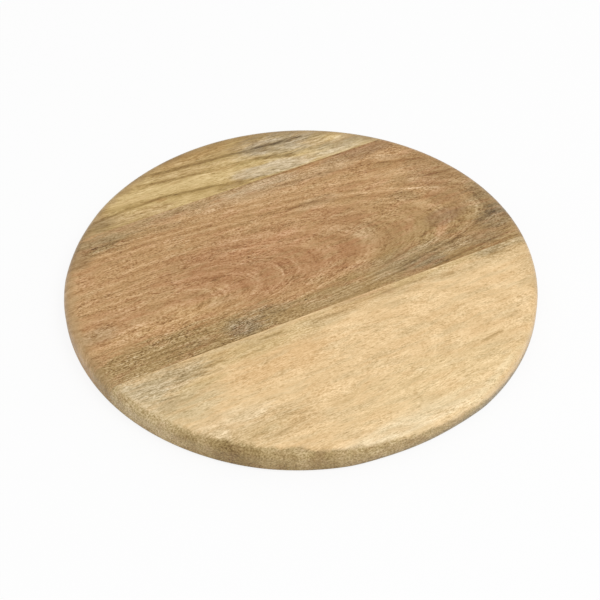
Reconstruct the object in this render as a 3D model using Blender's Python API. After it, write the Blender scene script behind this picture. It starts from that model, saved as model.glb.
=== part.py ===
"""Round wooden cutting board, edge-glued from three staves.

The blank is three staves glued side by side along two straight seams, then cut
round and rounded over at the rim on both faces. Each stave and each cured film
of glue is a closed solid of its own.

Frame: metres, +Z up, origin at the centre of the underside. X runs along the
grain and the seams, and Y across the staves, from the pale front stave to the
striped back one.
"""

import math

import bmesh
import bpy

# Driving dimensions of the board
BOARD_DIAMETER = 0.300
BOARD_THICKNESS = 0.016
TOP_ROUND_RADIUS = 0.006
BOTTOM_ROUND_RADIUS = 0.0035
LEAST_WALL_HEIGHT = 0.001

# Widths of the two side staves from the rim to their seam; the middle stave has the rest
BACK_STAVE_WIDTH = 0.055
FRONT_STAVE_WIDTH = 0.1145

# Film of cured glue in each seam
GLUE_THICKNESS = 0.0002

# Facets of the turned rim
RIM_SEGMENTS = 144
TOP_ROUND_STEPS = 8
BOTTOM_ROUND_STEPS = 6

# Worked out from the driving dimensions
BOARD_RADIUS = BOARD_DIAMETER / 2
BACK_SEAM_Y = BOARD_RADIUS - BACK_STAVE_WIDTH
FRONT_SEAM_Y = FRONT_STAVE_WIDTH - BOARD_RADIUS
HALF_GLUE = GLUE_THICKNESS / 2

# How close to a cut a corner may lie before it counts as on the cut
CUT_TOLERANCE = 1e-7


def clear_scene():
    """Take every object out of the scene, so that only the board is in it."""
    for leftover in list(bpy.data.objects):
        bpy.data.objects.remove(leftover, do_unlink=True)


def fitted_rounds():
    """Radii of the top and bottom round-overs, eased together where the wall is too low for both."""
    room = BOARD_THICKNESS - LEAST_WALL_HEIGHT
    share = min(1.0, room / (TOP_ROUND_RADIUS + BOTTOM_ROUND_RADIUS))
    return TOP_ROUND_RADIUS * share, BOTTOM_ROUND_RADIUS * share


def quarter_round(centre_x, centre_z, radius, start, steps):
    """Points of a quarter circle that turns anticlockwise in the XZ plane from the angle start."""
    points = []
    for step in range(steps + 1):
        angle = start + step / steps * math.pi / 2
        points.append((centre_x + radius * math.cos(angle), centre_z + radius * math.sin(angle)))
    return points


def rim_profile():
    """Section of the rim from the flat underside, round the wall, to the flat top."""
    top_round, bottom_round = fitted_rounds()
    lower = quarter_round(
        BOARD_RADIUS - bottom_round, bottom_round, bottom_round, -math.pi / 2, BOTTOM_ROUND_STEPS
    )
    upper = quarter_round(
        BOARD_RADIUS - top_round, BOARD_THICKNESS - top_round, top_round, 0.0, TOP_ROUND_STEPS
    )
    return lower + upper


def turned_disc():
    """The whole round board: the rim profile spun once about Z and closed by two flat faces."""
    disc = bmesh.new()
    verts = [disc.verts.new((x, 0.0, z)) for x, z in rim_profile()]
    edges = [disc.edges.new(pair) for pair in zip(verts, verts[1:])]
    bmesh.ops.spin(
        disc,
        geom=verts + edges,
        cent=(0.0, 0.0, 0.0),
        axis=(0.0, 0.0, 1.0),
        dvec=(0.0, 0.0, 0.0),
        angle=2 * math.pi,
        steps=RIM_SEGMENTS,
        use_merge=True,
    )
    bmesh.ops.holes_fill(disc, edges=[edge for edge in disc.edges if edge.is_boundary])
    bmesh.ops.recalc_face_normals(disc, faces=disc.faces)
    return disc


def saw_off(board, seam_y, side):
    """Saw the board along a seam plane, drop what lies on the given side and close the cut."""
    cut = bmesh.ops.bisect_plane(
        board,
        geom=board.verts[:] + board.edges[:] + board.faces[:],
        dist=CUT_TOLERANCE,
        plane_co=(0.0, seam_y, 0.0),
        plane_no=(0.0, side, 0.0),
        clear_outer=True,
    )
    for item in cut["geom_cut"]:
        if isinstance(item, bmesh.types.BMVert):
            item.co.y = seam_y
    bmesh.ops.holes_fill(board, edges=[edge for edge in board.edges if edge.is_boundary])


def slice_of_board(name, material, front_y=None, back_y=None):
    """One piece of the board: what lies between two seam planes, or from one of them to the rim."""
    board = turned_disc()
    if back_y is not None:
        saw_off(board, back_y, 1.0)
    if front_y is not None:
        saw_off(board, front_y, -1.0)
    bmesh.ops.recalc_face_normals(board, faces=board.faces)
    mesh = bpy.data.meshes.new(name)
    board.to_mesh(mesh)
    board.free()
    mesh.materials.append(material)
    mesh.shade_smooth()
    mesh.set_sharp_from_angle(angle=math.radians(30))
    piece = bpy.data.objects.new(name, mesh)
    bpy.context.scene.collection.objects.link(piece)
    return piece


def plain_material(name, colour, roughness):
    """A non-metallic Principled material with one colour."""
    material = bpy.data.materials.new(name)
    material.use_nodes = True
    shader = material.node_tree.nodes["Principled BSDF"]
    shader.inputs["Base Color"].default_value = (*colour, 1.0)
    shader.inputs["Roughness"].default_value = roughness
    shader.inputs["Metallic"].default_value = 0.0
    material.diffuse_color = (*colour, 1.0)
    return material


def striped_wood():
    """Yellow sapwood with dark stripes, for the back stave."""
    return plain_material("striped_wood", (0.56, 0.42, 0.21), 0.5)


def brown_wood():
    """Reddish brown heartwood, for the middle stave."""
    return plain_material("brown_wood", (0.45, 0.29, 0.15), 0.5)


def pale_wood():
    """Creamy sapwood, for the front stave."""
    return plain_material("pale_wood", (0.78, 0.61, 0.35), 0.48)


def cured_glue():
    """Brown cured wood glue, for the two seams."""
    return plain_material("cured_glue", (0.20, 0.12, 0.06), 0.4)


def back_stave():
    """The narrow striped stave at the back."""
    return slice_of_board("back_stave", striped_wood(), front_y=BACK_SEAM_Y + HALF_GLUE)


def middle_stave():
    """The widest part of the board, between the two seams."""
    return slice_of_board(
        "middle_stave", brown_wood(), front_y=FRONT_SEAM_Y + HALF_GLUE, back_y=BACK_SEAM_Y - HALF_GLUE
    )


def front_stave():
    """The pale stave at the front."""
    return slice_of_board("front_stave", pale_wood(), back_y=FRONT_SEAM_Y - HALF_GLUE)


def glue_lines():
    """The films of glue that fill the two seams, flush with both faces and the rim."""
    glue = cured_glue()
    for name, seam_y in (("back_glue_line", BACK_SEAM_Y), ("front_glue_line", FRONT_SEAM_Y)):
        slice_of_board(name, glue, front_y=seam_y - HALF_GLUE, back_y=seam_y + HALF_GLUE)


def main():
    """Build the board in an empty scene."""
    clear_scene()
    back_stave()
    middle_stave()
    front_stave()
    glue_lines()


main()
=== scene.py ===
"""Looks of a round cutting board, glued up from three staves of wood.

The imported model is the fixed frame: its boxes give the board's radius, its
thickness and where the two glue seams run. Each stave and each glue line is
turned and sliced again here with a finer rim, and gets wood of its own, with
growth layers round a pith, fibres, open vessels, stains and dark veins.

X runs along the grain and Y across the staves. Lengths are metres in the
frame and in the shapes, and millimetres in the wood's figure.
"""

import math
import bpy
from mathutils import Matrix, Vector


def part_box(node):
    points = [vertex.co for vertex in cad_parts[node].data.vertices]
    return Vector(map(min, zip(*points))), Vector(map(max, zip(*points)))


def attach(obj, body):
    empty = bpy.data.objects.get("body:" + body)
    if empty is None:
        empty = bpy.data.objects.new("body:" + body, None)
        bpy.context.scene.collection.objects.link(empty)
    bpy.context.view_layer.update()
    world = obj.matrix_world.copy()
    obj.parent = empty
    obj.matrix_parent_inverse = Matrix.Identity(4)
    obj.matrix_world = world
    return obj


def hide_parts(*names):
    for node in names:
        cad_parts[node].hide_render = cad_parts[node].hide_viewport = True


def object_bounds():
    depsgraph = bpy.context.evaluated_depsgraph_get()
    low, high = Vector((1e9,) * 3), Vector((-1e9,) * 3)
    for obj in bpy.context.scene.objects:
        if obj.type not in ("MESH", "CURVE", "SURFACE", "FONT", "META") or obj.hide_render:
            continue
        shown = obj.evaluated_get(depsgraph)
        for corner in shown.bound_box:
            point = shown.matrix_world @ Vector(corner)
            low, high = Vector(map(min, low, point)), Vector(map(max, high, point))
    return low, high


bl_info = {
    "name": "Round Glued Cutting Board",
    "version": (1, 0, 0),
    "blender": (4, 5, 0),
    "location": "3D View > Sidebar > Cutting Board",
    "description": "Turns a round board from three glued staves and gives each stave its own wood",
    "category": "Object",
}

from typing import NamedTuple

import bpy
from mathutils import Quaternion, Vector

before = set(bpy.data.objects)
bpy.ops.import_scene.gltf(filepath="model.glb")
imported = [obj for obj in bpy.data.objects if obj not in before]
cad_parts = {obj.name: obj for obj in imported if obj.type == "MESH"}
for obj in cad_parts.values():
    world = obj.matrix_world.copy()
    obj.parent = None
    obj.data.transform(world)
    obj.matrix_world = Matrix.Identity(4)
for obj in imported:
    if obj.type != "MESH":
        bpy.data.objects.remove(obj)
cad_low, cad_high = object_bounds()

BODY = "root"
MM = 0.001

# The frame's own sizes, metres
BOARD_RADIUS = (cad_high.x - cad_low.x) / 2
BOARD_THICKNESS = cad_high.z - cad_low.z
BACK_GLUE_LOW, BACK_GLUE_HIGH = (corner.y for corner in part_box("back_glue_line"))
FRONT_GLUE_LOW, FRONT_GLUE_HIGH = (corner.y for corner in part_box("front_glue_line"))

# The rim, as turned in the frame
TOP_ROUND = 6.0 * MM
BOTTOM_ROUND = 3.5 * MM

# How far the glue has shrunk below the wood at a seam
GLUE_SUNK = 0.04 * MM

# Rows of faces from the underside, round the rim, to the top
RIM_SEGMENTS = 720
EDGE_ROWS = 1
BOTTOM_ROWS = 8
WALL_ROWS = 2
TOP_ROWS = 14
EDGE_WIDTH = 2.0 * MM


class Flat(NamedTuple):
    """A stretch of the rim that the sander took in: its direction and half its spread, and its depth."""

    direction: float
    spread: float
    depth: float


RIM_FLATS = (
    Flat(-88, 19, 1.4 * MM),
    Flat(-161, 37, 0.8 * MM),
    Flat(20, 100, 0.5 * MM),
    Flat(140, 14, 0.5 * MM),
)

# View of the photograph
CAMERA_AZIMUTH = math.radians(-25.96)
CAMERA_ELEVATION = math.radians(44.25)
CAMERA_ROLL = math.radians(-1.39)
CAMERA_DISTANCE = 983.9 * MM
CAMERA_AIM = Vector((-4.32, -7.15, 0.0)) * MM
CAMERA_LENS = 92.64


def tone(red, green, blue):
    """A colour given as it shows on a screen, 0 to 255, turned into linear light."""
    shares = (channel / 255 for channel in (red, green, blue))
    return tuple(share / 12.92 if share <= 0.04045 else ((share + 0.055) / 1.055) ** 2.4 for share in shares)


class Log(NamedTuple):
    """How a stave lay in its log: where the pith ran under its face, and how its layers waver."""

    pith_y: float
    pith_depth: float
    rise: float
    level_x: float
    low_side: float
    waver: float
    seed: float


class Stain(NamedTuple):
    """A patch of another colour that runs along the grain, with livelier or calmer grain in it."""

    x: float
    y: float
    length: float
    width: float
    colour: tuple
    strength: float
    lively: float = 0.0
    lean: float = 0.0
    ragged: float = 0.7
    soft: float = 0.45


class Vein(NamedTuple):
    """A dark line along the growth layers. It leans and bends away from its middle."""

    x: float
    y: float
    reach: float
    width: float
    depth: float
    lean: float = 0.0
    bend: float = 0.0


class Texture(NamedTuple):
    """How strongly each kind of mark shades the wood, as a power of light."""

    year: float
    layer: float
    fleck: float
    speck: float
    streak: float
    cloud: float
    vessel: float
    vessel_share: float


class RimTone(NamedTuple):
    """The tone of the turned rim. It reaches up from the foot, over the edge, and shrinks along X."""

    colour: tuple
    share: float
    reach: float = 20.5
    soft: float = 6.0
    shrinks: tuple = (1000.0, 2000.0)
    # Where fades begins along X, the round-over also takes a painted shade
    fades: tuple = (1000.0, 2000.0)
    marks: float = 0.3
    drift: tuple = ()
    # The colour of a painted greyish shade on the foot, if any
    foot: tuple = ()


class Figure(NamedTuple):
    """The wood of one stave. Years are pairs of distance from the pith and shade, -1 to 1."""

    log: Log
    texture: Texture
    drift: tuple
    years: tuple
    stains: tuple
    veins: tuple
    rim_tone: RimTone


# Ground colours of the staves
TAN = tone(196, 153, 101)
CREAM = tone(237, 202, 149)
STRAW = tone(206, 175, 114)
GLUE = tone(142, 112, 72)

# Stains in the middle stave, heartwood
ROSE = tone(182, 132, 85)
RUST = tone(190, 136, 90)
HONEY = tone(208, 166, 110)
OLIVE = tone(173, 141, 87)
ASH = tone(143, 119, 80)
WALNUT = tone(166, 130, 83)
CINNAMON = tone(156, 118, 77)
MOSS = tone(158, 128, 79)
BUFF = tone(202, 166, 120)
PEACH = tone(203, 151, 103)
KHAKI = tone(175, 142, 90)
LICHEN = tone(184, 155, 110)
DRAB = tone(166, 141, 100)
UMBER = tone(128, 108, 77)

# Stains in the front stave, sapwood, and below them a painted highlight and a painted shade for its rim
SILVER = tone(192, 171, 131)
PEWTER = tone(191, 165, 120)
WHEAT = tone(210, 179, 123)
APRICOT = tone(228, 187, 131)
CHALK = tone(208, 184, 137)
BISCUIT = tone(217, 185, 134)
BARLEY = tone(186, 160, 110)
PEARL = tone(233, 206, 161)
IVORY = tone(234, 204, 151)
# A painted highlight, laid on the front round-over like a stain
HIGHLIGHT_CREAM = tone(240, 220, 178)
# A painted greyish shade, laid on the foot of the front rim
SHADOW_GREY = tone(178, 168, 150)

# Stains in the back stave, striped sapwood
LEMON = tone(220, 190, 131)
BRONZE = tone(193, 160, 105)
COPPER = tone(193, 153, 94)
SHELL = tone(200, 178, 141)
FAWN = tone(210, 190, 155)
SLATE = tone(182, 163, 132)
PEAR = tone(196, 168, 106)
COFFEE = tone(166, 134, 88)

# The middle stave. Here and below, a stain's row gives its x, y, length, width, colour, strength,
# lively, lean, ragged and soft, and a vein's row its x, y, reach, width, depth, lean and bend.
MIDDLE_YEARS = (
    (21.3, 0.35), (22.6, -0.5), (23.6, 0.45), (25.2, 0.0), (28.4, -0.4), (30.2, 0.45), (32, -0.4),
    (34, 0.0), (34.35, 0.8), (34.8, -0.25), (36, 0.0), (36.3, -1.0), (36.6, -1.0), (36.95, 0.7),
    (37.6, 0.05), (40.3, -0.4), (42.5, 0.3), (46.6, -0.45), (49.5, 0.55), (53, -0.35), (58, 0.1),
    (60.5, -0.35), (63.5, 0.45), (66.5, -0.7), (69, 0.5), (71, -0.6), (73.5, 0.35), (76.5, -0.35),
    (79, 0.4), (85, -0.3), (100, 0.0),
)
MIDDLE_STAINS = (
    (-32, 29, 54, 24, ROSE, 0.8),
    (5, 4, 70, 15, ROSE, 0.75),
    (-92, -1, 48, 8, HONEY, 0.65),
    (-120, 12, 26, 12, ROSE, 0.4),
    (44, 22, 24, 14, ROSE, 0.6),
    (126, 42, 18, 36, WALNUT, 0.7),
    (122, -20, 26, 13, WALNUT, 0.7),
    (118, -26, 16, 6, ASH, 0.4),
    (70, -22, 32, 11, DRAB, 0.7),
    (10, -28, 25, 7, LICHEN, 0.4),
    (45, 40, 22, 9, ROSE, 0.5, 0, -20),
    (96, 34, 10, 6, COFFEE, 0.5, 0, -20),
    (-100, -27, 80, 17, OLIVE, 0.95, 0.8, 0, 0.8, 0.25),
    (-108, 84, 30, 8, MOSS, 0.95, 0.4, 0, 0.9),
    (-62, 91, 55, 6, LICHEN, 0.7),
    (-56, 80, 12, 4, COFFEE, 0.45),
    (24, 85, 54, 7, BUFF, 0.75),
    (93, 90, 28, 7, CINNAMON, 0.75),
    (12, 90, 28, 5, FAWN, 0.4),
    (-56, 0, 11, 3, BUFF, 0.5),
    (60, 82, 23, 5.5, BUFF, 0.85),
    (-135, 7, 14, 7, WALNUT, 0.8),
    (104, 76, 10, 4, BUFF, 0.6, 0, -20),
    (-122, 77, 10, 9, WALNUT, 0.9),
    (133, 7, 16, 6, LICHEN, 0.5, 0.4),
    (55, 16, 9, 9, BUFF, 0.7),
    (40, -16, 11, 5, BUFF, 0.45),
    (109, 48, 13, 5, BUFF, 0.45, 0, -20),
    (-8, 34, 30, 8, PEACH, 0.55),
    (42, 56, 15, 5, BUFF, 0.8),
    (80, -15, 20, 3, LICHEN, 0.55, 0.3, 9),
    (100, -23, 12, 3, LICHEN, 0.6, 0.3, 9),
    (45, -27, 10, 2.4, LICHEN, 0.6, 0, 9),
    (84, 8, 6, 5, RUST, 0.6, 0, 40),
    (100, -6, 7, 4, RUST, 0.6, 0, 30),
    (38, 8, 9, 7, RUST, 0.6),
    (-40, -16, 10, 4, COFFEE, 0.5),
    (-52, -27, 14, 9, ASH, 0.8, 0.4),
    (-27, -22, 12, 5, ASH, 0.4, 0.4),
    (75, -29, 15, 5, ASH, 0.7, 0.4),
    (138, -11, 15, 10, ASH, 0.72, 0.4),
    (143, -5, 9, 7, UMBER, 0.8),
    (146, 14, 13, 22, ASH, 0.68),
    (108, 4, 15, 7, CINNAMON, 0.95),
    (66, 18, 36, 24, KHAKI, 0.3, -0.7),
    (-133, -29, 8, 5, KHAKI, 0.7),
    (-106, 87, 14, 5, UMBER, 0.25),
    (-84, -26, 12, 4, LICHEN, 0.35),
)
MIDDLE_VEINS = (
    (48, 94.4, 56, 1.3, 0.55),
    (38, 82, 30, 1.1, 0.35, -0.06),
    (80, 76, 28, 1.3, 0.3, -0.2),
    (112, 68, 20, 1.5, 0.35, -0.35),
    (25, 58.2, 30, 1.5, 0.35, -0.08),
    (0, 60, 62, 2.0, 0.15, -0.02, -0.0008),
    (130, 44.8, 14, 1.3, 0.5, -0.13),
    (112, 26, 22, 2.0, 0.25, -0.25),
    (105, 38, 22, 1.2, -0.2, -0.45),
    (92, 46, 14, 1.2, -0.2, -0.45),
    (-114, 86, 7, 1.0, 0.35),
    (-100, 82, 14, 1.1, 0.3),
    (-76, 85, 10, 1.0, 0.3),
    (-90, 77.5, 24, 1.0, 0.2),
    (-54, 60.5, 9, 1.0, 0.25),
    (-66, 50, 26, 1.2, 0.25),
    (-38, 41, 22, 1.2, 0.25, 0.02),
    (-105, 13, 35, 1.6, 0.15),
    (-78, -14, 30, 1.3, 0.35, 0.07),
    (-104, -21.5, 18, 1.1, 0.35),
    (-97, -25, 16, 1.1, 0.35),
    (-82, -29.5, 26, 1.1, 0.35),
    (-70, -34.9, 26, 0.8, 0.5),
    (62, -15, 18, 1.0, 0.45, 0.25),
    (78, -25.5, 26, 0.9, 0.25, 0.17),
    (85, -20.7, 30, 1.1, 0.55, 0.16),
    (42, -30, 26, 1.0, 0.4, 0.13),
    (104, -31.5, 30, 1.1, 0.5, 0.1),
    (80, -34.3, 10, 1.1, 0.5),
    (118, -34.8, 16, 0.8, 0.5),
    (90, -4, 14, 1.3, 0.3, 0.6),
    (48, 2, 12, 1.4, 0.2, 1.2),
    (134, -8.8, 14, 1.5, 0.45, 0.14),
    (80, -9.5, 22, 1.6, -0.12, 0.36),
    (-58, 20.5, 18, 1.3, 0.12),
    (-118, 89, 12, 6, 0.13, 1.35),
    (130, -33, 12, 1.0, 0.4, -0.05),
)
MIDDLE_WOOD = Figure(
    log=Log(pith_y=8, pith_depth=36.6, rise=0.246, level_x=-64, low_side=0.00045, waver=0.5, seed=3.0),
    texture=Texture(
        year=0.30, layer=0.30, fleck=0.30, speck=0.70, streak=0.23, cloud=0.14,
        vessel=0.34, vessel_share=0.34,
    ),
    drift=(RUST, KHAKI),
    years=MIDDLE_YEARS,
    stains=tuple(Stain(*row) for row in MIDDLE_STAINS),
    veins=tuple(Vein(*row) for row in MIDDLE_VEINS),
    # Right of x 90 the round-over takes a painted shade
    rim_tone=RimTone(LICHEN, 0.42, fades=(90, 135)),
)

# The front stave
FRONT_YEARS = (
    (36, 0.0), (39.5, 0.3), (41.5, -0.35), (44, 0.5), (46.5, -0.4), (49.5, 0.3), (53, -0.5),
    (57.5, 0.3), (60.5, -0.4), (64, 0.6), (67.5, -0.2), (72, 0.6), (78, 0.0),
)
FRONT_STAINS = (
    (-45, -63, 40, 13, APRICOT, 0.85, 0.2),
    (-112, -68, 26, 16, CHALK, 0.85, 0.3),
    (-80, -104, 36, 13, BISCUIT, 0.85, 0.6),
    (-52, -44.5, 46, 8.5, WHEAT, 0.95, 0.7),
    (-48, -37.4, 34, 1.8, BISCUIT, 0.9),
    (-42, -42.5, 20, 2.5, BRONZE, 0.4),
    (-124, -46.5, 40, 11, SILVER, 0.9, 1.3, 0, 0.7, 0.4),
    (-101, -43, 17, 7, PEWTER, 0.8, 0.6),
    (-93, -57, 17, 4, WHEAT, 0.75),
    (-101, -101, 5, 8, PEARL, 0.8),
    (-3, -44, 26, 4, BISCUIT, 0.8, 0.5),
    (75, -42, 66, 6, BISCUIT, 0.85, 0.4),
    (60, -38, 80, 2.4, WHEAT, 0.8, 0.3),
    (125, -39.5, 21, 5, BARLEY, 0.95, 0.8, 0, 0.4),
    (126, -38, 20, 4, DRAB, 0.6, 0.4, 0, 0.4),
    (22, -37, 24, 2, RUST, 0.4, 0, 0, 0.5),
    (41, -40, 5, 2.5, RUST, 0.25),
    (72, -129, 14, 5, APRICOT, 0.6, 0, 40),
    (82, -134, 46, 3.5, BARLEY, 0.6, 0.6, 30),
    # Two strips of painted highlight along the round-over, at the front and towards the right
    (4, -141, 58, 7, HIGHLIGHT_CREAM, 0.7, 0, 4, 0.4),
    (67, -130, 22, 2.5, HIGHLIGHT_CREAM, 0.65, 0, 27, 0.4),
    (136, -72, 14, 30, BISCUIT, 0.8),
    (34, -120, 70, 20, IVORY, 0.6),
    (-92, -92, 26, 8, PEARL, 0.75),
    (-132, -58, 15, 7, SILVER, 0.6),
    (-120, -65, 10, 5, PEWTER, 0.5),
    (-54, -113, 26, 5, BISCUIT, 0.5),
    (-22, -44, 12, 5, WHEAT, 0.5),
    (-76, -107, 20, 4, WHEAT, 0.3),
)
FRONT_VEINS = (
    (-76, -40.5, 7, 0.9, 0.4),
    (-40, -41.5, 9, 1.0, 0.5),
    (-83, -46.5, 10, 1.1, 0.5),
    (-102, -47.5, 7, 0.9, 0.4),
    (-97, -50.5, 13, 1.0, 0.5),
    (-58, -49, 9, 1.0, 0.3),
    (-86, -52.5, 9, 1.0, 0.3),
    (-114, -60.5, 9, 1.0, 0.3, -0.1),
    (-105, -65, 7, 1.0, 0.25),
    (0, -43, 18, 1.6, 0.4),
    (40, -40.5, 30, 1.0, 0.35),
    (126, -39.3, 14, 0.8, 0.3),
    (120, -42, 12, 0.8, 0.25),
    (82, -45, 5, 1.2, 0.3),
    (-66, -113, 14, 1.4, 0.25, 0.25),
    (-104, -105, 6, 4.5, 0.3, -1.1),
    (-119.7, -88.9, 6, 3, 0.25, -1.3),
    (-93.5, -114.6, 9, 3, 0.3, -0.75),
    (-75.7, -128.5, 7, 3, 0.2, -0.6),
    (-56, -136.4, 9, 3, 0.25, -0.4),
    (-81, -109, 7, 2.2, 0.22),
    (-99, -112, 9, 5, 0.28, -0.9),
    (-134, -58, 14, 9, -0.2, -2.1),
    (-55, -104, 10, 2.0, 0.2, -0.2),
    (-28, -109, 9, 2.0, 0.18),
    (78, -104.3, 10, 1.4, 0.5, 0.14),
    (20, -113, 14, 2.4, 0.14),
)
FRONT_WOOD = Figure(
    log=Log(pith_y=-86, pith_depth=30, rise=0.3, level_x=-30, low_side=0.00012, waver=0.6, seed=11.0),
    texture=Texture(
        year=0.09, layer=0.05, fleck=0.12, speck=0.26, streak=0.14, cloud=0.12,
        vessel=0.28, vessel_share=0.26,
    ),
    drift=(APRICOT, CHALK),
    years=FRONT_YEARS,
    stains=tuple(Stain(*row) for row in FRONT_STAINS),
    veins=tuple(Vein(*row) for row in FRONT_VEINS),
    # The rim's foot takes a painted greyish shade, and its round-over a painted shade at the right
    rim_tone=RimTone(
        BARLEY, 1.0, reach=19.0, soft=4.5, shrinks=(-95, 100), fades=(55, 120), marks=1.35,
        drift=(COFFEE, LICHEN), foot=SHADOW_GREY,
    ),
)

# The back stave
BACK_YEARS = (
    (58, -0.1), (61, 0.5), (63, 0.3), (66, -0.8), (68.5, 0.45), (73, 0.4), (76, -0.7), (79, 0.35),
    (81, -0.1), (83.5, -1.0), (86, -0.1), (88, -0.3), (91, -1.0), (100, -0.6),
)
BACK_STAINS = (
    (-98, 102, 22, 10, COFFEE, 0.62, 0.3),
    (-88, 103, 14, 5, MOSS, 0.72),
    (-65, 99, 22, 6, BRONZE, 0.9),
    (-45, 118, 38, 7, LEMON, 0.75, -0.4),
    (-10, 131, 64, 10, BRONZE, 0.7),
    (-15, 140, 34, 5, COPPER, 0.7),
    (27, 137, 14, 5, COFFEE, 0.5),
    (8, 128, 12, 5, LEMON, 0.35),
    (11, 105, 10, 6, FAWN, 0.4),
    (-76, 105, 12, 4, BRONZE, 0.4),
    (-105, 101, 14, 7, UMBER, 0.25),
    (47, 125, 34, 14, SLATE, 0.85, 0.3),
    (88, 103, 28, 8, FAWN, 0.8),
    (68, 113, 12, 5, SHELL, 0.5),
    (33, 102, 35, 7, SHELL, 0.9, -0.1, -5, 0.3, 0.15),
    (20, 115, 14, 4, PEAR, 0.7),
    (0, 98, 16, 2.0, COFFEE, 0.45),
    (-50, 107, 4, 1.6, COPPER, 0.7),
)
BACK_VEINS = (
    (5, 129, 65, 1.4, 0.55, -0.085),
    (45, 125.5, 22, 1.8, 0.35, -0.05),
    (-28, 121.8, 30, 1.3, 0.45, -0.15),
    (36, 112.5, 18, 1.8, 0.45, -0.3, 0.002),
    (33, 122, 13, 1.5, 0.4, -0.35),
    (80, 107, 22, 1.5, 0.2, -0.1),
    (-70, 108.3, 35, 1.3, 0.55, 0.05, -0.0015),
    (-20, 104.3, 32, 1.3, 0.55, -0.17, 0.001),
    (-104, 99, 16, 1.8, 0.2, 0.1),
    (40, 104, 13, 4, 0.07),
)
BACK_WOOD = Figure(
    log=Log(pith_y=72, pith_depth=60, rise=0.1, level_x=-150, low_side=0.0, waver=0.6, seed=23.0),
    texture=Texture(
        year=0.26, layer=0.24, fleck=0.26, speck=0.24, streak=0.30, cloud=0.16,
        vessel=0.28, vessel_share=0.3,
    ),
    drift=(COPPER, PEAR),
    years=BACK_YEARS,
    stains=tuple(Stain(*row) for row in BACK_STAINS),
    veins=tuple(Vein(*row) for row in BACK_VEINS),
    rim_tone=RimTone(COFFEE, 0.5),
)


class Grain(NamedTuple):
    """One size of grain marks along the fibres, and how far its seed is from the stave's own."""

    length: float
    width: float
    soft: float
    seed: float


GRAINS = {
    "speck": Grain(length=1.6, width=0.6, soft=0.18, seed=4.0),
    "streak": Grain(length=9.0, width=1.0, soft=0.18, seed=8.0),
    "cloud": Grain(length=30.0, width=6.0, soft=0.2, seed=12.0),
    "stir": Grain(length=26.0, width=11.0, soft=0.14, seed=16.0),
}
PATCH = Grain(length=22.0, width=5.0, soft=0.2, seed=20.0)
RIM_PATCH = Grain(length=9.0, width=6.0, soft=0.2, seed=24.0)

# No growth year may lie farther from the pith than this
YEARS_REACH = 100.0

# How softly the pith levels out, and how far slow noise bends the layers beside quick noise
LEVEL_SMOOTH = 30.0
SLOW_BEND = 3.0

# The least strength of the growth years, and what noise adds to it
VIGOUR_LEAST = 0.3
VIGOUR_MORE = 1.4

# How far fibres wave and veins waver, millimetres, and what frays the edge of a stain
FIBRE_WAVE = 7.0
VEIN_WAVER = 2.6
STREAKS_FRAY = 1.5
CLOUDS_FRAY = 1.1

# Open vessels, in noise cells: their least reach, what chance adds to it, and their soft edge
VESSEL_REACH = 0.16
VESSEL_MORE = 0.34
VESSEL_SOFT = 0.12

# Where a stain's soft edge is half through, as a share of its size
STAIN_EDGE = 0.92

# How far a vein leans through the board, how frayed its line is, and where line and ends give out
VEIN_DIP = 0.3
VEIN_FRAYED = 2.2
VEIN_LINE = (1.5, 0.1)
VEIN_ENDS = (1.05, 0.55)

# How much colour dark marks gain in red and blue, and pale ones lose
RED_GAIN = 0.5
BLUE_GAIN = 0.62

# The dark edge of the heartwood: its distance from the pith, its side of the pith, its strength
RIND_DISTANCE = (47.0, 56.0)
RIND_SIDE = (18.0, -10.0)
RIND_SHARE = 0.85

# How far up the rim the painted shade of its foot reaches, and where it is full
FOOT_TOP = 9.0
FOOT_FULL = 2.0

# How much the rim's tone narrows where it shrinks, and pales where it fades
RIM_NARROWS = 0.8
RIM_PALES = 0.65

# How far fibres, bends and lumps push the border of the rim's tone in and out
RIM_RAGGED = 1.8
RIM_WAVER = 1.5
RIM_LUMPS = 9.0

# How much longer the dark side of the fine marks is than the pale side, and what evens that out
DARK_LEAN = 0.7
EVEN = 0.03

# How much the fine grain's strength varies, and how much of it the sander took off the rim
STIR = 0.7
SANDED = 0.7

# How far its lumps shade the rim, how far painted shade darkens its foot and grows where its tone narrows,
# and how far painted shade darkens the round-over at its far end
LUMP_SHADE = 0.6
FOOT_PAINTED_SHADE = 0.28
FOOT_GROWS = 0.5
EDGE_PAINTED_SHADE = 0.16

# Roughness of bare wood and of glue, and what their marks add
WOOD_ROUGHNESS = 0.45
ROUGHER = {"fleck": -0.10, "vessel": 0.14, "edge": -0.12}
GLUE_ROUGHNESS = 0.38
GLUE_ROUGHER = 0.2

# Heights of the marks, millimetres
HEIGHTS = {"fleck": 0.03, "streak": 0.02, "speck": 0.012, "vessel": -0.05}
GLUE_HEIGHT = 0.03

# The top round-over as sanded by hand: its largest share, how much it varies, and how often
HAND_LARGEST = 1.06
HAND_VARIES = 0.2
HAND_CELLS = 1.7

# Sizes of the box that keeps a slice, by the board's radius and by its thickness
SAW_WIDTH = 2.4
SAW_HEIGHT = 3.0

# Where an outer stave's box ends outside the rim, by the board's radius
BEYOND_RIM = 1.1

# The studio, metres: half the floor's side, how white the camera sees it, and the lamp
FLOOR_HALF = 4.0
FLOOR_WHITE = 0.88
LAMP_PLACE = (0.65, -1.25, 2.2)
LAMP_SIZE = 1.4

ORIGIN = (0.0, 0.0, 0.0)
WHITE = (1.0, 1.0, 1.0, 1.0)

# The kind of a group's output, by the type of the socket that feeds it
OUTPUT_SOCKETS = {
    "VALUE": "NodeSocketFloat",
    "VECTOR": "NodeSocketVector",
    "RGBA": "NodeSocketColor",
    "GEOMETRY": "NodeSocketGeometry",
}


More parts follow.
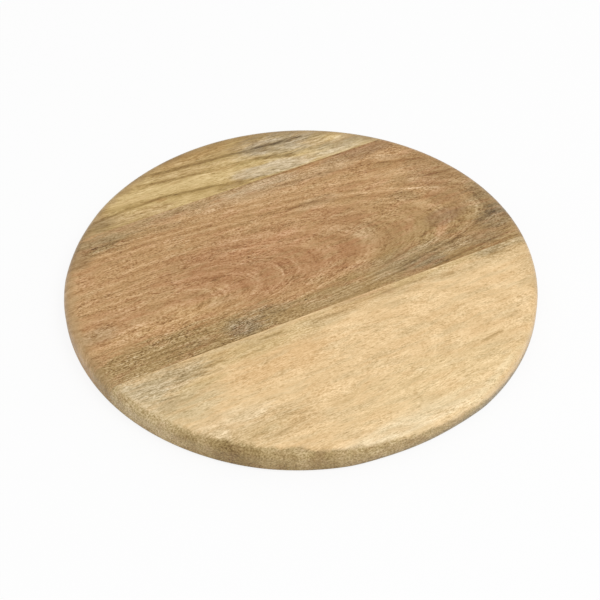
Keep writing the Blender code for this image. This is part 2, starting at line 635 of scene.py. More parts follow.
def math_method(operation, swapped=False):
    """A method of Field that lays down one Math node, with the field on the right if swapped."""

    def method(self, other):
        values = (other, self) if swapped else (self, other)
        return self.graph.math(operation, *values)

    return method


class Field:
    """The value of one socket. Sums, products and powers of it lay down Math nodes."""

    def __init__(self, graph, socket):
        self.graph = graph
        self.socket = socket

    __add__ = math_method("ADD")
    __radd__ = math_method("ADD", swapped=True)
    __sub__ = math_method("SUBTRACT")
    __rsub__ = math_method("SUBTRACT", swapped=True)
    __mul__ = math_method("MULTIPLY")
    __rmul__ = math_method("MULTIPLY", swapped=True)
    __truediv__ = math_method("DIVIDE")
    __rtruediv__ = math_method("DIVIDE", swapped=True)
    __pow__ = math_method("POWER")


def named(label):
    """The name of a group's socket, from the name that Python has for it."""
    return label.replace("_", " ").title()


class Graph:
    """A node tree with short calls that add its nodes."""

    def __init__(self, tree):
        self.tree = tree
        self.given = []

    @classmethod
    def group(cls, name, tree_type="ShaderNodeTree", **inputs):
        """A new node group with the given input defaults. The fields of its inputs are in given."""
        graph = cls(bpy.data.node_groups.new(name, tree_type))
        for label, default in inputs.items():
            if default is None:
                kind = "NodeSocketMaterial"
            elif isinstance(default, tuple):
                kind = "NodeSocketVector" if len(default) == 3 else "NodeSocketColor"
            else:
                kind = "NodeSocketFloat"
            socket = graph.tree.interface.new_socket(named(label), in_out="INPUT", socket_type=kind)
            if default is not None:
                socket.default_value = default
        entry = graph.tree.nodes.new("NodeGroupInput")
        graph.given = [graph.read(entry, index) for index in range(len(inputs))]
        return graph

    def give(self, **outputs):
        """Send fields out of the group under their names, and hand back its finished tree."""
        for label, field in outputs.items():
            kind = OUTPUT_SOCKETS[field.socket.type]
            self.tree.interface.new_socket(named(label), in_out="OUTPUT", socket_type=kind)
        way_out = self.tree.nodes.new("NodeGroupOutput")
        for label, field in outputs.items():
            self.feed(way_out.inputs[named(label)], field)
        self.arrange()
        return self.tree

    def feed(self, socket, value):
        """Link a field to a socket, or set the socket's own value."""
        if isinstance(value, Field):
            self.tree.links.new(value.socket, socket)
        elif socket.type == "RGBA" and len(value) == 3:
            socket.default_value = (*value, 1.0)
        else:
            socket.default_value = value

    def add(self, kind, inputs=None, **settings):
        """A node of one kind with its settings, fed by input name or number."""
        node = self.tree.nodes.new(kind)
        for name, value in settings.items():
            setattr(node, name, value)
        for key, value in (inputs or {}).items():
            self.feed(node.inputs[key], value)
        return node

    def place(self, name, **inputs):
        """A copy of one of the shared shader groups in this tree."""
        node = self.add("ShaderNodeGroup", node_tree=shared_group(name))
        for label, value in inputs.items():
            self.feed(node.inputs[named(label)], value)
        return node

    def read(self, node, key=0):
        """One output of a node."""
        return Field(self, node.outputs[key])

    def math(self, operation, *values, clamp=False):
        """A Math node of up to three values."""
        node = self.add("ShaderNodeMath", dict(enumerate(values)), operation=operation, use_clamp=clamp)
        return self.read(node)

    def vector(self, operation, *values):
        """A Vector Math node that puts out a vector."""
        return self.read(self.add("ShaderNodeVectorMath", dict(enumerate(values)), operation=operation))

    def split(self, vector):
        """The three parts of a vector."""
        node = self.add("ShaderNodeSeparateXYZ", {0: vector})
        return tuple(self.read(node, index) for index in range(3))

    def join(self, x, y, z):
        """A vector of three parts."""
        return self.read(self.add("ShaderNodeCombineXYZ", {0: x, 1: y, 2: z}))

    def millimetres(self):
        """Object coordinates, in millimetres."""
        coordinates = self.read(self.add("ShaderNodeTexCoord"), "Object")
        return self.vector("MULTIPLY", coordinates, (1 / MM, 1 / MM, 1 / MM))

    def ease(self, value, low, high):
        """0 below low, 1 above high and a smooth step between them, or down if low is the larger."""
        inputs = {"Value": value, "From Min": low, "From Max": high}
        return self.read(self.add("ShaderNodeMapRange", inputs, interpolation_type="SMOOTHSTEP"))

    def cells(self, point, length, width, seed=0.0):
        """A point counted in noise cells of a length along X and a width across it."""
        size = self.join(1.0 / length, 1.0 / width, 1.0 / width)
        return self.vector("MULTIPLY_ADD", point, size, self.join(seed, seed, 0.0))

    def noise(self, place, detail=2.0, roughness=0.5):
        """Soft noise round 0.5 at a place given in noise cells."""
        inputs = {"Vector": place, "Scale": 1.0, "Detail": detail, "Roughness": roughness}
        return self.read(self.add("ShaderNodeTexNoise", inputs), "Fac")

    def wander(self, point, seed, length, width, detail=2.0, roughness=0.5):
        """Soft noise round zero, in cells of a length along X and a width across it."""
        return self.noise(self.cells(point, length, width, seed), detail, roughness) - 0.5

    def sharpen(self, noise, soft):
        """Noise sharpened to marks from -0.5 to 0.5 with a soft step between them."""
        return self.ease(noise, 0.5 - soft, 0.5 + soft) - 0.5

    def mix(self, share, first, second):
        """One colour turned into another by a share from 0 to 1."""
        node = self.add("ShaderNodeMix", {0: share}, data_type="RGBA")
        for index, colour in ((6, first), (7, second)):
            self.feed(node.inputs[index], colour)
        return self.read(node, 2)

    def bump(self, shader, height, strength=1.0):
        """Raise a shader's surface by a height in millimetres."""
        node = self.add("ShaderNodeBump", {"Strength": strength, "Distance": MM, "Height": height})
        self.feed(shader.inputs["Normal"], self.read(node))

    def arrange(self):
        """Lay the nodes out in columns, each to the right of what feeds it."""
        column = {node: 0 for node in self.tree.nodes}
        moved = True
        while moved:
            moved = False
            for link in self.tree.links:
                if column[link.to_node] <= column[link.from_node]:
                    column[link.to_node] = column[link.from_node] + 1
                    moved = True
        filled = {}
        for node in self.tree.nodes:
            row = filled.get(column[node], 0)
            node.location = (220 * column[node], -190 * row)
            filled[column[node]] = row + 1


def growth_group():
    """Growth: distance from a pith under the face that sinks along X, fine layers and flecks."""
    log = {"pith_y": 0.0, "pith_depth": 30.0, "rise": 0.2, "level_x": -150.0, "low_side": 0.0}
    graph = Graph.group("growth", point=ORIGIN, **log, waver=1.0, seed=0.0)
    point, pith_y, pith_depth, rise, level_x, low_side, waver, seed = graph.given
    x, y, z = graph.split(point)
    across = y - pith_y
    low = graph.math("MINIMUM", across, 0.0)
    side = across + low * low * low * low_side
    ahead = graph.math("SMOOTH_MAX", x, level_x, LEVEL_SMOOTH)
    below = pith_depth + rise * ahead + z - BOARD_THICKNESS / MM
    radius = (side * side + below * below) ** 0.5
    slow = graph.wander(point, seed, length=34.0, width=14.0)
    quick = graph.wander(point, seed, length=6.0, width=2.2)
    radius = radius + (slow * SLOW_BEND + quick) * waver

    def layered(length, thickness, width):
        """The point counted in noise cells that follow the growth layers."""
        return graph.join(x / length + seed, radius / thickness, y / width)

    layers = graph.noise(layered(length=10.0, thickness=0.55, width=14.0), detail=1.0)
    flecks = graph.noise(layered(length=3.6, thickness=0.8, width=3.0), roughness=0.6)
    vigour = graph.noise(graph.cells(point, length=22.0, width=12.0, seed=seed), detail=1.0)
    return graph.give(
        radius=radius,
        layer=graph.sharpen(layers, soft=0.16),
        fleck=graph.sharpen(flecks, soft=0.16),
        vigour=VIGOUR_LEAST + VIGOUR_MORE * vigour,
    )


def fibre_group():
    """Fibres: the point along their waving run, and how they break up the edges of stains and veins."""
    graph = Graph.group("fibres", point=ORIGIN, seed=0.0)
    point, seed = graph.given
    wave = graph.wander(point, seed, length=30.0, width=14.0, detail=1.0) * FIBRE_WAVE
    streaks = graph.wander(point, seed, length=14.0, width=1.8, detail=3.0, roughness=0.6)
    clouds = graph.wander(point, seed, length=20.0, width=8.0, detail=1.0)
    return graph.give(
        run=graph.vector("ADD", point, graph.join(0.0, wave, wave)),
        ragged=streaks * STREAKS_FRAY + clouds * CLOUDS_FRAY,
        waver=graph.wander(point, seed, length=16.0, width=30.0) * VEIN_WAVER,
        frayed=graph.wander(point, seed, length=5.0, width=0.9),
    )


def grain_group():
    """Grain: marks drawn out along the fibres, from -0.5 to 0.5."""
    graph = Graph.group("grain", run=ORIGIN, length=12.0, width=1.0, soft=0.2, seed=0.0)
    run, length, width, soft, seed = graph.given
    noise = graph.noise(graph.cells(run, length, width, seed), roughness=0.55)
    return graph.give(mark=graph.sharpen(noise, soft))


def vessel_group():
    """Open vessels: short dark dashes on the faces, and dots where the end grain shows."""
    graph = Graph.group("vessels", point=ORIGIN, share=0.4, seed=0.0)
    point, share, seed = graph.given
    place = graph.cells(point, length=4.2, width=0.75, seed=seed)
    cells = graph.add("ShaderNodeTexVoronoi", {"Vector": place, "Scale": 1.0})
    drawn, size, _ = graph.split(graph.read(cells, "Color"))
    crowd = graph.noise(graph.cells(point, length=24.0, width=4.0, seed=seed), detail=1.0)
    open_here = graph.math("LESS_THAN", drawn, share * crowd * 2.0)
    reach = VESSEL_REACH + VESSEL_MORE * size
    distance = graph.read(cells, "Distance")
    return graph.give(vessel=graph.ease(distance, reach + VESSEL_SOFT, reach - VESSEL_SOFT) * open_here)


def stain_group():
    """A stained patch of the wood, an ellipse along the grain with a ragged soft edge."""
    size = {"length": 30.0, "width": 10.0, "lean": 0.0}
    graph = Graph.group("stain", point=ORIGIN, x=0.0, y=0.0, **size, ragged=0.0, soft=0.45)
    point, middle_x, middle_y, length, width, lean, ragged, soft = graph.given
    x, y, _ = graph.split(point)
    ahead = x - middle_x
    aside = (y - middle_y - ahead * lean) / width
    ahead = ahead / length
    distance = (ahead * ahead + aside * aside) ** 0.5 + ragged
    return graph.give(stain=graph.ease(distance, STAIN_EDGE + soft, STAIN_EDGE - soft))


def vein_group():
    """A dark vein whose middle line leans and bends across the face."""
    size = {"reach": 50.0, "width": 1.0, "lean": 0.0, "bend": 0.0}
    graph = Graph.group("vein", point=ORIGIN, x=0.0, y=0.0, **size, waver=0.0, frayed=0.0)
    point, middle_x, middle_y, reach, width, lean, bend, waver, frayed = graph.given
    x, y, z = graph.split(point)
    ahead = x - middle_x
    middle = middle_y + lean * ahead + bend * ahead * ahead
    dip = (BOARD_THICKNESS / MM - z) * VEIN_DIP
    off = graph.math("ABSOLUTE", y - middle + waver + dip)
    line = graph.ease(off / width + frayed * VEIN_FRAYED, *VEIN_LINE)
    ends = graph.ease(graph.math("ABSOLUTE", ahead) / reach + frayed, *VEIN_ENDS)
    return graph.give(vein=line * ends)


def rim_group():
    """Masks by place: the top round-over, which is glossier and takes a painted shade at the far end, the
    rim's own tone, and its foot, which takes a painted shade.
    """
    graph = Graph.group("rim", point=ORIGIN, reach=20.0, soft=3.0)
    point, reach, soft = graph.given
    x, y, z = graph.split(point)
    inward = BOARD_RADIUS / MM - (x * x + y * y) ** 0.5
    return graph.give(
        edge=graph.ease(inward, TOP_ROUND / MM, TOP_ROUND / MM / 6),
        tone=graph.ease(inward + z, reach + soft, reach),
        foot=graph.ease(inward + z, FOOT_TOP, FOOT_FULL),
    )


def shaded_group():
    """A colour made lighter or darker by a power of light. Pale marks lose colour, dark ones gain it."""
    graph = Graph.group("shaded", colour=(0.5, 0.5, 0.5, 1.0), shade=0.0)
    colour, shade = graph.given
    light = graph.math("EXPONENT", shade)
    parts = graph.add("ShaderNodeSeparateColor", {"Color": colour})
    red, green, blue = (graph.read(parts, index) for index in range(3))
    red = red * light * (green / red) ** (shade * RED_GAIN)
    blue = blue * light * (green / blue) ** (shade * BLUE_GAIN)
    shaded = graph.add("ShaderNodeCombineColor", {"Red": red, "Green": green * light, "Blue": blue})
    return graph.give(colour=graph.read(shaded))


class WoodGraph(Graph):
    """The nodes of one stave's wood, which share the point, the growth and the fibres."""

    def __init__(self, tree, figure):
        super().__init__(tree)
        self.figure = figure
        self.seed = figure.log.seed
        self.point = self.millimetres()
        self.growth = self.place("growth", point=self.point, **figure.log._asdict())
        self.fibres = self.place("fibres", point=self.point, seed=self.seed)
        self.waver = self.read(self.fibres, "Waver")
        self.ragged = self.read(self.fibres, "Ragged")
        self.x, self.y, _ = self.split(self.point)
        self.marks = {}

    def years(self):
        """The shade of the growth years, -1 to 1 by distance from the pith, stronger in some places."""
        node = self.add("ShaderNodeValToRGB", {0: self.read(self.growth, "Radius") / YEARS_REACH})
        ramp = node.color_ramp
        ramp.interpolation = "EASE"
        for number, (distance, shade) in enumerate(self.figure.years):
            spot = distance / YEARS_REACH
            stop = ramp.elements[number] if number < 2 else ramp.elements.new(spot)
            stop.position = spot
            level = 0.5 + shade / 2
            stop.color = (level, level, level, 1.0)
        return (self.read(node) * 2.0 - 1.0) * self.read(self.growth, "Vigour")

    def rinded(self, colour, rind):
        """The colour with the dark edge of the heartwood laid over it."""
        distance = self.read(self.growth, "Radius")
        share = self.ease(distance, *RIND_DISTANCE) * self.ease(self.y - self.figure.log.pith_y, *RIND_SIDE)
        return self.mix(share * RIND_SHARE, colour, rind)

    def stained(self, colour):
        """The colour with the stains laid over it, and how much livelier they make the grain."""
        lively = 1.0
        for stain in self.figure.stains:
            shape = {name: getattr(stain, name) for name in ("x", "y", "length", "width", "soft")}
            lean = math.tan(math.radians(stain.lean))
            ragged = self.ragged * stain.ragged
            node = self.place("stain", point=self.point, lean=lean, ragged=ragged, **shape)
            share = self.read(node) * stain.strength
            colour = self.mix(share, colour, stain.colour)
            if stain.lively:
                lively = lively + share * stain.lively
        return colour, lively

    def veins(self):
        """How far the veins darken the wood, as a power of light. Pale ones lighten it."""
        frayed = self.read(self.fibres, "Frayed")
        shade = 0.0
        for vein in self.figure.veins:
            inputs = vein._asdict()
            depth = inputs.pop("depth")
            node = self.place("vein", point=self.point, waver=self.waver, frayed=frayed, **inputs)
            shade = shade + self.read(node) * depth
        return shade

    def grain(self, grain, number=0):
        """One size of grain marks, -0.5 to 0.5."""
        inputs = grain._replace(seed=self.seed + grain.seed + number)._asdict()
        return self.read(self.place("grain", run=self.read(self.fibres, "Run"), **inputs))

    def patched(self, colour, drifts, grain, strength=1.0):
        """A colour that drifts into others in patches."""
        for number, drift in enumerate(drifts):
            patch = self.math("MAXIMUM", self.grain(grain, number), 0.0)
            colour = self.mix(patch * strength, colour, drift)
        return colour

    def find_rim(self):
        """Find where the wood shows its rim, as masks from 0 to 1, and the lumps in its tone."""
        tone = self.figure.rim_tone
        self.narrow = self.ease(self.x, *tone.shrinks)
        self.lumps = self.wander(self.point, self.seed, length=7.0, width=7.0)
        reach = tone.reach * (1.0 - self.narrow * RIM_NARROWS)
        reach = reach + self.ragged * RIM_RAGGED + self.waver * RIM_WAVER + self.lumps * RIM_LUMPS
        rim = self.place("rim", point=self.point, reach=reach, soft=tone.soft)
        self.far = self.ease(self.x, *tone.fades)
        self.wall = self.read(rim, "Tone") * (1.0 - self.far * RIM_PALES)
        self.foot = self.read(rim, "Foot")
        self.edge = self.read(rim, "Edge")

    def rim_toned(self, colour):
        """The colour with the rim's own tone laid over it, and a painted greyish shade on its foot."""
        tone = self.figure.rim_tone
        rim_colour = self.patched(tone.colour, tone.drift, RIM_PATCH)
        colour = self.mix(self.wall * tone.share, colour, rim_colour)
        if tone.foot:
            colour = self.mix(self.foot * self.narrow * (1.0 - self.far), colour, tone.foot)
        return colour

    def find_marks(self):
        """Find every kind of mark in the wood, by name."""
        share = self.figure.texture.vessel_share
        self.marks["fleck"] = self.read(self.growth, "Fleck")
        self.marks["layer"] = self.read(self.growth, "Layer")
        for name, grain in GRAINS.items():
            self.marks[name] = self.grain(grain)
        vessels = self.place("vessels", point=self.point, share=share, seed=self.seed)
        self.marks["vessel"] = self.read(vessels)
        self.marks["edge"] = self.edge

    def weigh(self, shares):
        """The sum of the marks that have a share, each times its share."""
        return sum(self.marks[name] * share for name, share in shares.items())

    def grain_shade(self, lively):
        """How the grain shades the wood, calmer where the rim was sanded, as a power of light."""
        texture = self.figure.texture
        kinds = ("fleck", "streak", "speck", "layer")
        fine = self.weigh({kind: getattr(texture, kind) for kind in kinds})
        fine = fine - (fine * fine - EVEN) * DARK_LEAN
        shade = fine * (lively + self.marks["stir"] * STIR) * (1.0 - self.wall * SANDED)
        return shade + self.marks["cloud"] * texture.cloud

    def rim_shade(self):
        """How the rim's scratches and lumps shade it, with painted shade on its foot and on the far end of
        its round-over, as a power of light.
        """
        tone = self.figure.rim_tone
        rough = self.wander(self.point, self.seed, length=1.3, width=1.0, roughness=0.7) * 2.0
        rough = (rough - rough * rough * DARK_LEAN) * tone.marks + self.lumps * LUMP_SHADE
        foot = self.foot * (1.0 + self.narrow * FOOT_GROWS)
        return rough * self.wall - foot * tone.share * FOOT_PAINTED_SHADE - self.edge * self.far * EDGE_PAINTED_SHADE


def new_material(name):
    """A material with nodes, and its shader."""
    material = bpy.data.materials.new(name)
    material.use_nodes = True
    return material, material.node_tree.nodes["Principled BSDF"]


def wood_material(name, figure, base, rind=None):
    """Wood of one stave: growth years, stains and veins, broken up by grain and open vessels."""
    material, shader = new_material(name)
    graph = WoodGraph(material.node_tree, figure)
    texture = figure.texture
    years = graph.years()

    colour = graph.rinded(base, rind) if rind else base
    colour, lively = graph.stained(colour)
    colour = graph.patched(colour, figure.drift, PATCH, strength=0.7)
    graph.find_rim()
    colour = graph.rim_toned(colour)

    graph.find_marks()
    shade = graph.grain_shade(lively) + graph.rim_shade() + years * texture.year
    shade = shade - graph.marks["vessel"] * texture.vessel - graph.veins()
    tinted = graph.place("shaded", colour=colour, shade=shade)
    graph.feed(shader.inputs["Base Color"], graph.read(tinted))
    graph.feed(shader.inputs["Roughness"], WOOD_ROUGHNESS + graph.weigh(ROUGHER))
    graph.bump(shader, graph.weigh(HEIGHTS))
    graph.arrange()
    return material


def glue_material(base):
    """Cured glue in the seams: brown, a little glossy, broken by specks of fibre."""
    material, shader = new_material("cured_glue")
    graph = Graph(material.node_tree)
    specks = graph.noise(graph.cells(graph.millimetres(), length=3.0, width=0.4))
    graph.feed(shader.inputs["Base Color"], graph.mix(specks, base, WHEAT))
    graph.feed(shader.inputs["Roughness"], GLUE_ROUGHNESS + specks * GLUE_ROUGHER)
    graph.bump(shader, specks * GLUE_HEIGHT, strength=0.5)
    graph.arrange()
    return material


def taken_off(graph, x, y):
    """How far the sander took the rim in, at a place on a round blank of radius 1."""
    taken = 0.0
    for flat in RIM_FLATS:
        turn = math.radians(flat.direction)
        facing = x * math.cos(turn) + y * math.sin(turn)
        share = graph.ease(facing, math.cos(math.radians(flat.spread)), 1.0)
        taken = taken + share * flat.depth
    return taken


def rim_profile(graph, row, radius, thickness, top_round, bottom_round):
    """The radius and the height of each row of the blank, from the underside to the top."""

    def stretch(first, count):
        """How far the row has come through a stretch of rows, from 0 to 1."""
        return graph.math("DIVIDE", row - first, count, clamp=True)

    wall_start = EDGE_ROWS + BOTTOM_ROWS
    top_start = wall_start + WALL_ROWS
    lower = stretch(EDGE_ROWS, BOTTOM_ROWS) * (math.pi / 2)
    upper = stretch(top_start, TOP_ROWS) * (math.pi / 2)
    edges = 1.0 - stretch(0, EDGE_ROWS) + stretch(top_start + TOP_ROWS, EDGE_ROWS)
    radius = (
        radius
        - bottom_round * (1.0 - graph.math("SINE", lower))
        - top_round * (1.0 - graph.math("COSINE", upper))
        - edges * EDGE_WIDTH
    )
    height = (
        bottom_round * (1.0 - graph.math("COSINE", lower))
        + (thickness - bottom_round - top_round) * stretch(wall_start, WALL_ROWS)
        + top_round * graph.math("SINE", upper)
    )
    return radius, height


def sawn(graph, board, width, thickness, low_y, high_y):
    """What is left of the board between two planes of Y."""
    span = graph.join(width, high_y - low_y, thickness * SAW_HEIGHT)
    box = graph.read(graph.add("GeometryNodeMeshCube", {"Size": span}), "Mesh")
    middle = graph.join(0.0, (low_y + high_y) * 0.5, thickness * 0.5)
    placed = graph.read(graph.add("GeometryNodeTransform", {"Geometry": box, "Translation": middle}))
    flat = graph.add("GeometryNodeSetShadeSmooth", {"Geometry": placed, "Shade Smooth": False})
    cut = graph.add("GeometryNodeMeshBoolean", operation="INTERSECT", solver="EXACT")
    for part in (board, flat):
        graph.feed(cut.inputs["Mesh 2"], graph.read(part))
    return graph.read(cut, "Mesh")


def turned_slice_group():
    """Geometry nodes that turn the whole board and keep the slice between two planes of Y."""
    sizes = {"radius": 0.15, "thickness": 0.016, "top_round": 0.006, "bottom_round": 0.0035}
    place = {"low_y": -0.1, "high_y": 0.1, "sunk": 0.0}
    graph = Graph.group("turned_slice", "GeometryNodeTree", **sizes, **place, flats=1.0, wood=None)
    full_radius, thickness, top_round, bottom_round, low_y, high_y, sunk, flats, wood = graph.given
    rows = 2 * EDGE_ROWS + BOTTOM_ROWS + WALL_ROWS + TOP_ROWS
    blank = graph.add(
        "GeometryNodeMeshCylinder",
        {"Vertices": RIM_SEGMENTS, "Side Segments": rows, "Radius": 1.0, "Depth": 1.0},
        fill_type="NGON",
    )
    x, y, z = graph.split(graph.read(graph.add("GeometryNodeInputPosition")))
    hand = graph.noise(graph.join(x * HAND_CELLS, y * HAND_CELLS, 0.0), detail=1.0)
    top_round = top_round * (HAND_LARGEST - hand * HAND_VARIES)
    radius = full_radius - taken_off(graph, x, y) * flats - sunk
    row = (z + 0.5) * rows
    radius, height = rim_profile(graph, row, radius, thickness, top_round, bottom_round)
    height = sunk + height * (thickness - 2.0 * sunk) / thickness
    position = graph.join(x * radius, y * radius, height)
    inputs = {"Geometry": graph.read(blank, "Mesh"), "Position": position}
    turned = graph.read(graph.add("GeometryNodeSetPosition", inputs))
    inputs = {"Geometry": turned, "Selection": graph.read(blank, "Side"), "Shade Smooth": True}
    smooth = graph.add("GeometryNodeSetShadeSmooth", inputs)
    part = sawn(graph, smooth, full_radius * SAW_WIDTH, thickness, low_y, high_y)
    realized = graph.read(graph.add("GeometryNodeRealizeInstances", {"Geometry": part}))
    covered = graph.add("GeometryNodeSetMaterial", {"Geometry": realized, "Material": wood})
    return graph.give(slice=graph.read(covered))


GROUP_BUILDERS = {
    "growth": growth_group,
    "fibres": fibre_group,
    "grain": grain_group,
    "vessels": vessel_group,
    "stain": stain_group,
    "vein": vein_group,
    "rim": rim_group,
    "shaded": shaded_group,
    "turned_slice": turned_slice_group,
}


def shared_group(name):
    """One of the node groups that the pieces share, built when it is first asked for."""
    return bpy.data.node_groups.get(name) or GROUP_BUILDERS[name]()


def set_inputs(modifier, values):
    """Set a geometry nodes modifier's inputs by name, through their identifiers."""
    identifiers = {
        item.name: item.identifier
        for item in modifier.node_group.interface.items_tree
        if item.item_type == "SOCKET" and item.in_out == "INPUT"
    }
    for label, value in values.items():
        modifier[identifiers[named(label)]] = value


def sliced_piece(name, node, low_y, high_y, sunk, material):
    """Turn one slice of the board as a plain mesh that stands for its CAD node."""
    sizes = bpy.context.scene.board_sizes
    blank = bpy.data.objects.new(name + "_blank", bpy.data.meshes.new(name + "_blank"))
    bpy.context.scene.collection.objects.link(blank)
    modifier = blank.modifiers.new("turned_slice", "NODES")
    modifier.node_group = shared_group("turned_slice")
    settings = ("radius", "thickness", "top_round", "bottom_round", "flats")
    values = {setting: getattr(sizes, setting) for setting in settings}
    values.update(low_y=low_y, high_y=high_y, sunk=sunk, wood=material)
    set_inputs(modifier, values)
    depsgraph = bpy.context.evaluated_depsgraph_get()
    mesh = bpy.data.meshes.new_from_object(blank.evaluated_get(depsgraph))
    mesh.name = name
    bpy.data.objects.remove(blank, do_unlink=True)
    piece = bpy.data.objects.new(name, mesh)
    bpy.context.scene.collection.objects.link(piece)
    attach(piece, BODY)
    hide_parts(node)
    return piece


def length_property(name, description, default):
    """A length, in metres, that someone may want to change."""
    return bpy.props.FloatProperty(name=name, description=description, default=default, unit="LENGTH")


def colour_property(name, description, default):
    """A colour, in linear light, that someone may want to change."""
    return bpy.props.FloatVectorProperty(
        name=name, description=description, default=default, subtype="COLOR"
    )


class BoardSizes(bpy.types.PropertyGroup):
    """Sizes of the board."""

    radius: length_property("Radius", "Radius of the round board", BOARD_RADIUS)
    thickness: length_property("Thickness", "Height of the board", BOARD_THICKNESS)
    top_round: length_property("Top Round", "Radius of the rim's upper round-over", TOP_ROUND)
    bottom_round: length_property("Bottom Round", "Radius of the rim's lower round-over", BOTTOM_ROUND)
    glue_sunk: length_property("Glue Sunk", "How far the glue has shrunk below the wood", GLUE_SUNK)
    flats: bpy.props.FloatProperty(
        name="Flats",
        description="How strongly the sander flattened the rim: 0 is a true circle",
        default=1.0,
        min=0.0,
        subtype="FACTOR",
    )


class WoodColours(bpy.types.PropertyGroup):
    """Ground colours of the woods and the glue."""

    back: colour_property("Back Stave", "Ground colour of the striped stave", STRAW)
    middle: colour_property("Middle Stave", "Ground colour of the brown stave", TAN)
    front: colour_property("Front Stave", "Ground colour of the pale stave", CREAM)
    glue: colour_property("Glue", "Colour of the cured glue", GLUE)


class StageLook(bpy.types.PropertyGroup):
    """Floor and light of the plain studio."""

    floor: colour_property("Floor", "Colour of the floor", (0.92, 0.92, 0.92))
    sky: bpy.props.FloatProperty(
        name="Sky", description="Strength of the light from all round", default=0.69, subtype="FACTOR"
    )
    key: bpy.props.FloatProperty(
        name="Key", description="Power of the soft light in front", default=23.5, unit="POWER"
    )


class BOARD_OT_back_stave(bpy.types.Operator):
    """Make the narrow striped stave behind the back seam"""

    bl_idname = "cutting_board.back_stave"
    bl_label = "Back Stave"

    def execute(self, context):
        reach = context.scene.board_sizes.radius * BEYOND_RIM
        material = wood_material("striped_wood", BACK_WOOD, tuple(context.scene.wood_colours.back))
        sliced_piece("striped_stave", "back_stave", BACK_GLUE_HIGH, reach, 0.0, material)
        return {"FINISHED"}


class BOARD_OT_middle_stave(bpy.types.Operator):
    """Make the wide brown stave between the seams"""

    bl_idname = "cutting_board.middle_stave"
    bl_label = "Middle Stave"

    def execute(self, context):
        material = wood_material(
            "brown_wood", MIDDLE_WOOD, tuple(context.scene.wood_colours.middle), rind=OLIVE
        )
        sliced_piece(
            "brown_stave", "middle_stave", FRONT_GLUE_HIGH, BACK_GLUE_LOW, 0.0, material
        )
        return {"FINISHED"}


class BOARD_OT_front_stave(bpy.types.Operator):
    """Make the pale stave in front of the front seam"""

    bl_idname = "cutting_board.front_stave"
    bl_label = "Front Stave"

    def execute(self, context):
        reach = context.scene.board_sizes.radius * BEYOND_RIM
        material = wood_material("pale_wood", FRONT_WOOD, tuple(context.scene.wood_colours.front))
        sliced_piece("pale_stave", "front_stave", -reach, FRONT_GLUE_LOW, 0.0, material)
        return {"FINISHED"}


class BOARD_OT_glue_lines(bpy.types.Operator):
    """Make the two lines of cured glue in the seams"""

    bl_idname = "cutting_board.glue_lines"
    bl_label = "Glue Lines"

    def execute(self, context):
        sunk = context.scene.board_sizes.glue_sunk
        material = glue_material(tuple(context.scene.wood_colours.glue))
        sliced_piece(
            "back_seam", "back_glue_line", BACK_GLUE_LOW, BACK_GLUE_HIGH, sunk, material
        )
        sliced_piece(
            "front_seam", "front_glue_line", FRONT_GLUE_LOW, FRONT_GLUE_HIGH, sunk, material
        )
        return {"FINISHED"}


def floor_material(colour):
    """A pale floor that shows the camera nearly white and still holds the board's shadow."""
    material, shader = new_material("studio_floor")
    graph = Graph(material.node_tree)
    graph.feed(shader.inputs["Base Color"], colour)
    graph.feed(shader.inputs["Roughness"], 0.9)
    white = graph.add("ShaderNodeEmission", {"Color": WHITE, "Strength": 1.0})
    path = graph.add("ShaderNodeLightPath")
    share = graph.read(path, "Is Camera Ray") * FLOOR_WHITE
    mixed = graph.add("ShaderNodeMixShader", {0: share, 1: graph.read(shader), 2: graph.read(white)})
    output = material.node_tree.nodes["Material Output"]
    graph.feed(output.inputs["Surface"], graph.read(mixed))
    graph.arrange()
    return material


def make_floor(look):
    """A wide floor just under the board."""
    half = FLOOR_HALF
    mesh = bpy.data.meshes.new("studio_floor")
    corners = [(-half, -half, 0.0), (half, -half, 0.0), (half, half, 0.0), (-half, half, 0.0)]
    mesh.from_pydata(corners, [], [(0, 1, 2, 3)])
    mesh.materials.append(floor_material(tuple(look.floor)))
    floor = bpy.data.objects.new("studio_floor", mesh)
    bpy.context.scene.collection.objects.link(floor)


def make_sky(look):
    """Even light from all round, which the camera sees as white."""
    world = bpy.data.worlds.new("studio_sky")
    world.use_nodes = True
    bpy.context.scene.world = world
    graph = Graph(world.node_tree)
    background = world.node_tree.nodes["Background"]
    path = graph.add("ShaderNodeLightPath")
    seen = graph.math("MAXIMUM", graph.read(path, "Is Camera Ray"), graph.read(path, "Is Transmission Ray"))
    graph.feed(background.inputs["Strength"], look.sky + seen * (1.0 - look.sky))
    graph.feed(background.inputs["Color"], WHITE)
    graph.arrange()


def make_lamp(look):
    """A square soft lamp in front of the board, turned to its middle."""
    data = bpy.data.lights.new("key_lamp", "AREA")
    data.shape = "SQUARE"
    data.size = LAMP_SIZE
    data.energy = look.key
    lamp = bpy.data.objects.new("key_lamp", data)
    lamp.location = LAMP_PLACE
    lamp.rotation_mode = "QUATERNION"
    lamp.rotation_quaternion = (-Vector(LAMP_PLACE)).to_track_quat("-Z", "Y")
    bpy.context.scene.collection.objects.link(lamp)


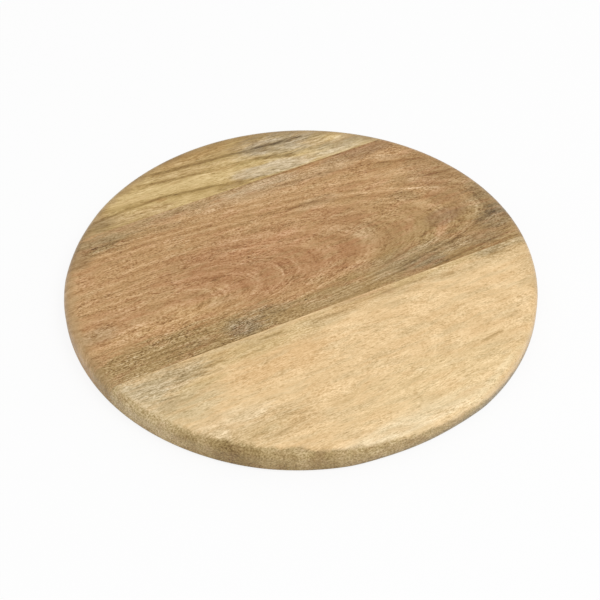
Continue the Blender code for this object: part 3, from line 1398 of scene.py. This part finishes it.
def make_camera():
    """The camera at the photograph's viewing angle."""
    flat = math.cos(CAMERA_ELEVATION)
    ahead = math.cos(CAMERA_AZIMUTH) * flat
    back = Vector((math.sin(CAMERA_AZIMUTH) * flat, -ahead, math.sin(CAMERA_ELEVATION)))
    data = bpy.data.cameras.new("camera")
    data.lens = CAMERA_LENS
    camera = bpy.data.objects.new("camera", data)
    camera.location = CAMERA_AIM + back * CAMERA_DISTANCE
    camera.rotation_mode = "QUATERNION"
    turn = Quaternion((0.0, 0.0, 1.0), CAMERA_ROLL)
    camera.rotation_quaternion = (-back).to_track_quat("-Z", "Y") @ turn
    bpy.context.scene.collection.objects.link(camera)
    bpy.context.scene.camera = camera


class BOARD_OT_stage(bpy.types.Operator):
    """Make the floor, the soft studio light and the camera"""

    bl_idname = "cutting_board.stage"
    bl_label = "Stage"

    def execute(self, context):
        look = context.scene.stage_look
        make_floor(look)
        make_sky(look)
        make_lamp(look)
        make_camera()
        context.scene.view_settings.view_transform = "Standard"
        return {"FINISHED"}


class BOARD_PT_panel(bpy.types.Panel):
    """Sizes of the board and a button for each of its pieces"""

    bl_idname = "BOARD_PT_panel"
    bl_label = "Cutting Board"
    bl_space_type = "VIEW_3D"
    bl_region_type = "UI"
    bl_category = "Cutting Board"

    def draw(self, context):
        scene = context.scene
        for settings in (scene.board_sizes, scene.wood_colours, scene.stage_look):
            box = self.layout.box()
            for name in settings.__annotations__:
                box.prop(settings, name)
        for operator in OPERATORS:
            self.layout.operator(operator.bl_idname)


OPERATORS = (
    BOARD_OT_back_stave,
    BOARD_OT_middle_stave,
    BOARD_OT_front_stave,
    BOARD_OT_glue_lines,
    BOARD_OT_stage,
)
CLASSES = (BoardSizes, WoodColours, StageLook, *OPERATORS, BOARD_PT_panel)


def register():
    """Register the classes and hang the settings on the scene."""
    for cls in CLASSES:
        bpy.utils.register_class(cls)
    bpy.types.Scene.board_sizes = bpy.props.PointerProperty(type=BoardSizes)
    bpy.types.Scene.wood_colours = bpy.props.PointerProperty(type=WoodColours)
    bpy.types.Scene.stage_look = bpy.props.PointerProperty(type=StageLook)


def unregister():
    """Take the settings and the classes away again."""
    del bpy.types.Scene.stage_look
    del bpy.types.Scene.wood_colours
    del bpy.types.Scene.board_sizes
    for cls in reversed(CLASSES):
        bpy.utils.unregister_class(cls)


def main():
    """Register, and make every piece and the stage."""
    register()
    bpy.ops.cutting_board.back_stave()
    bpy.ops.cutting_board.middle_stave()
    bpy.ops.cutting_board.front_stave()
    bpy.ops.cutting_board.glue_lines()
    bpy.ops.cutting_board.stage()


if __name__ == "__main__":
    main()
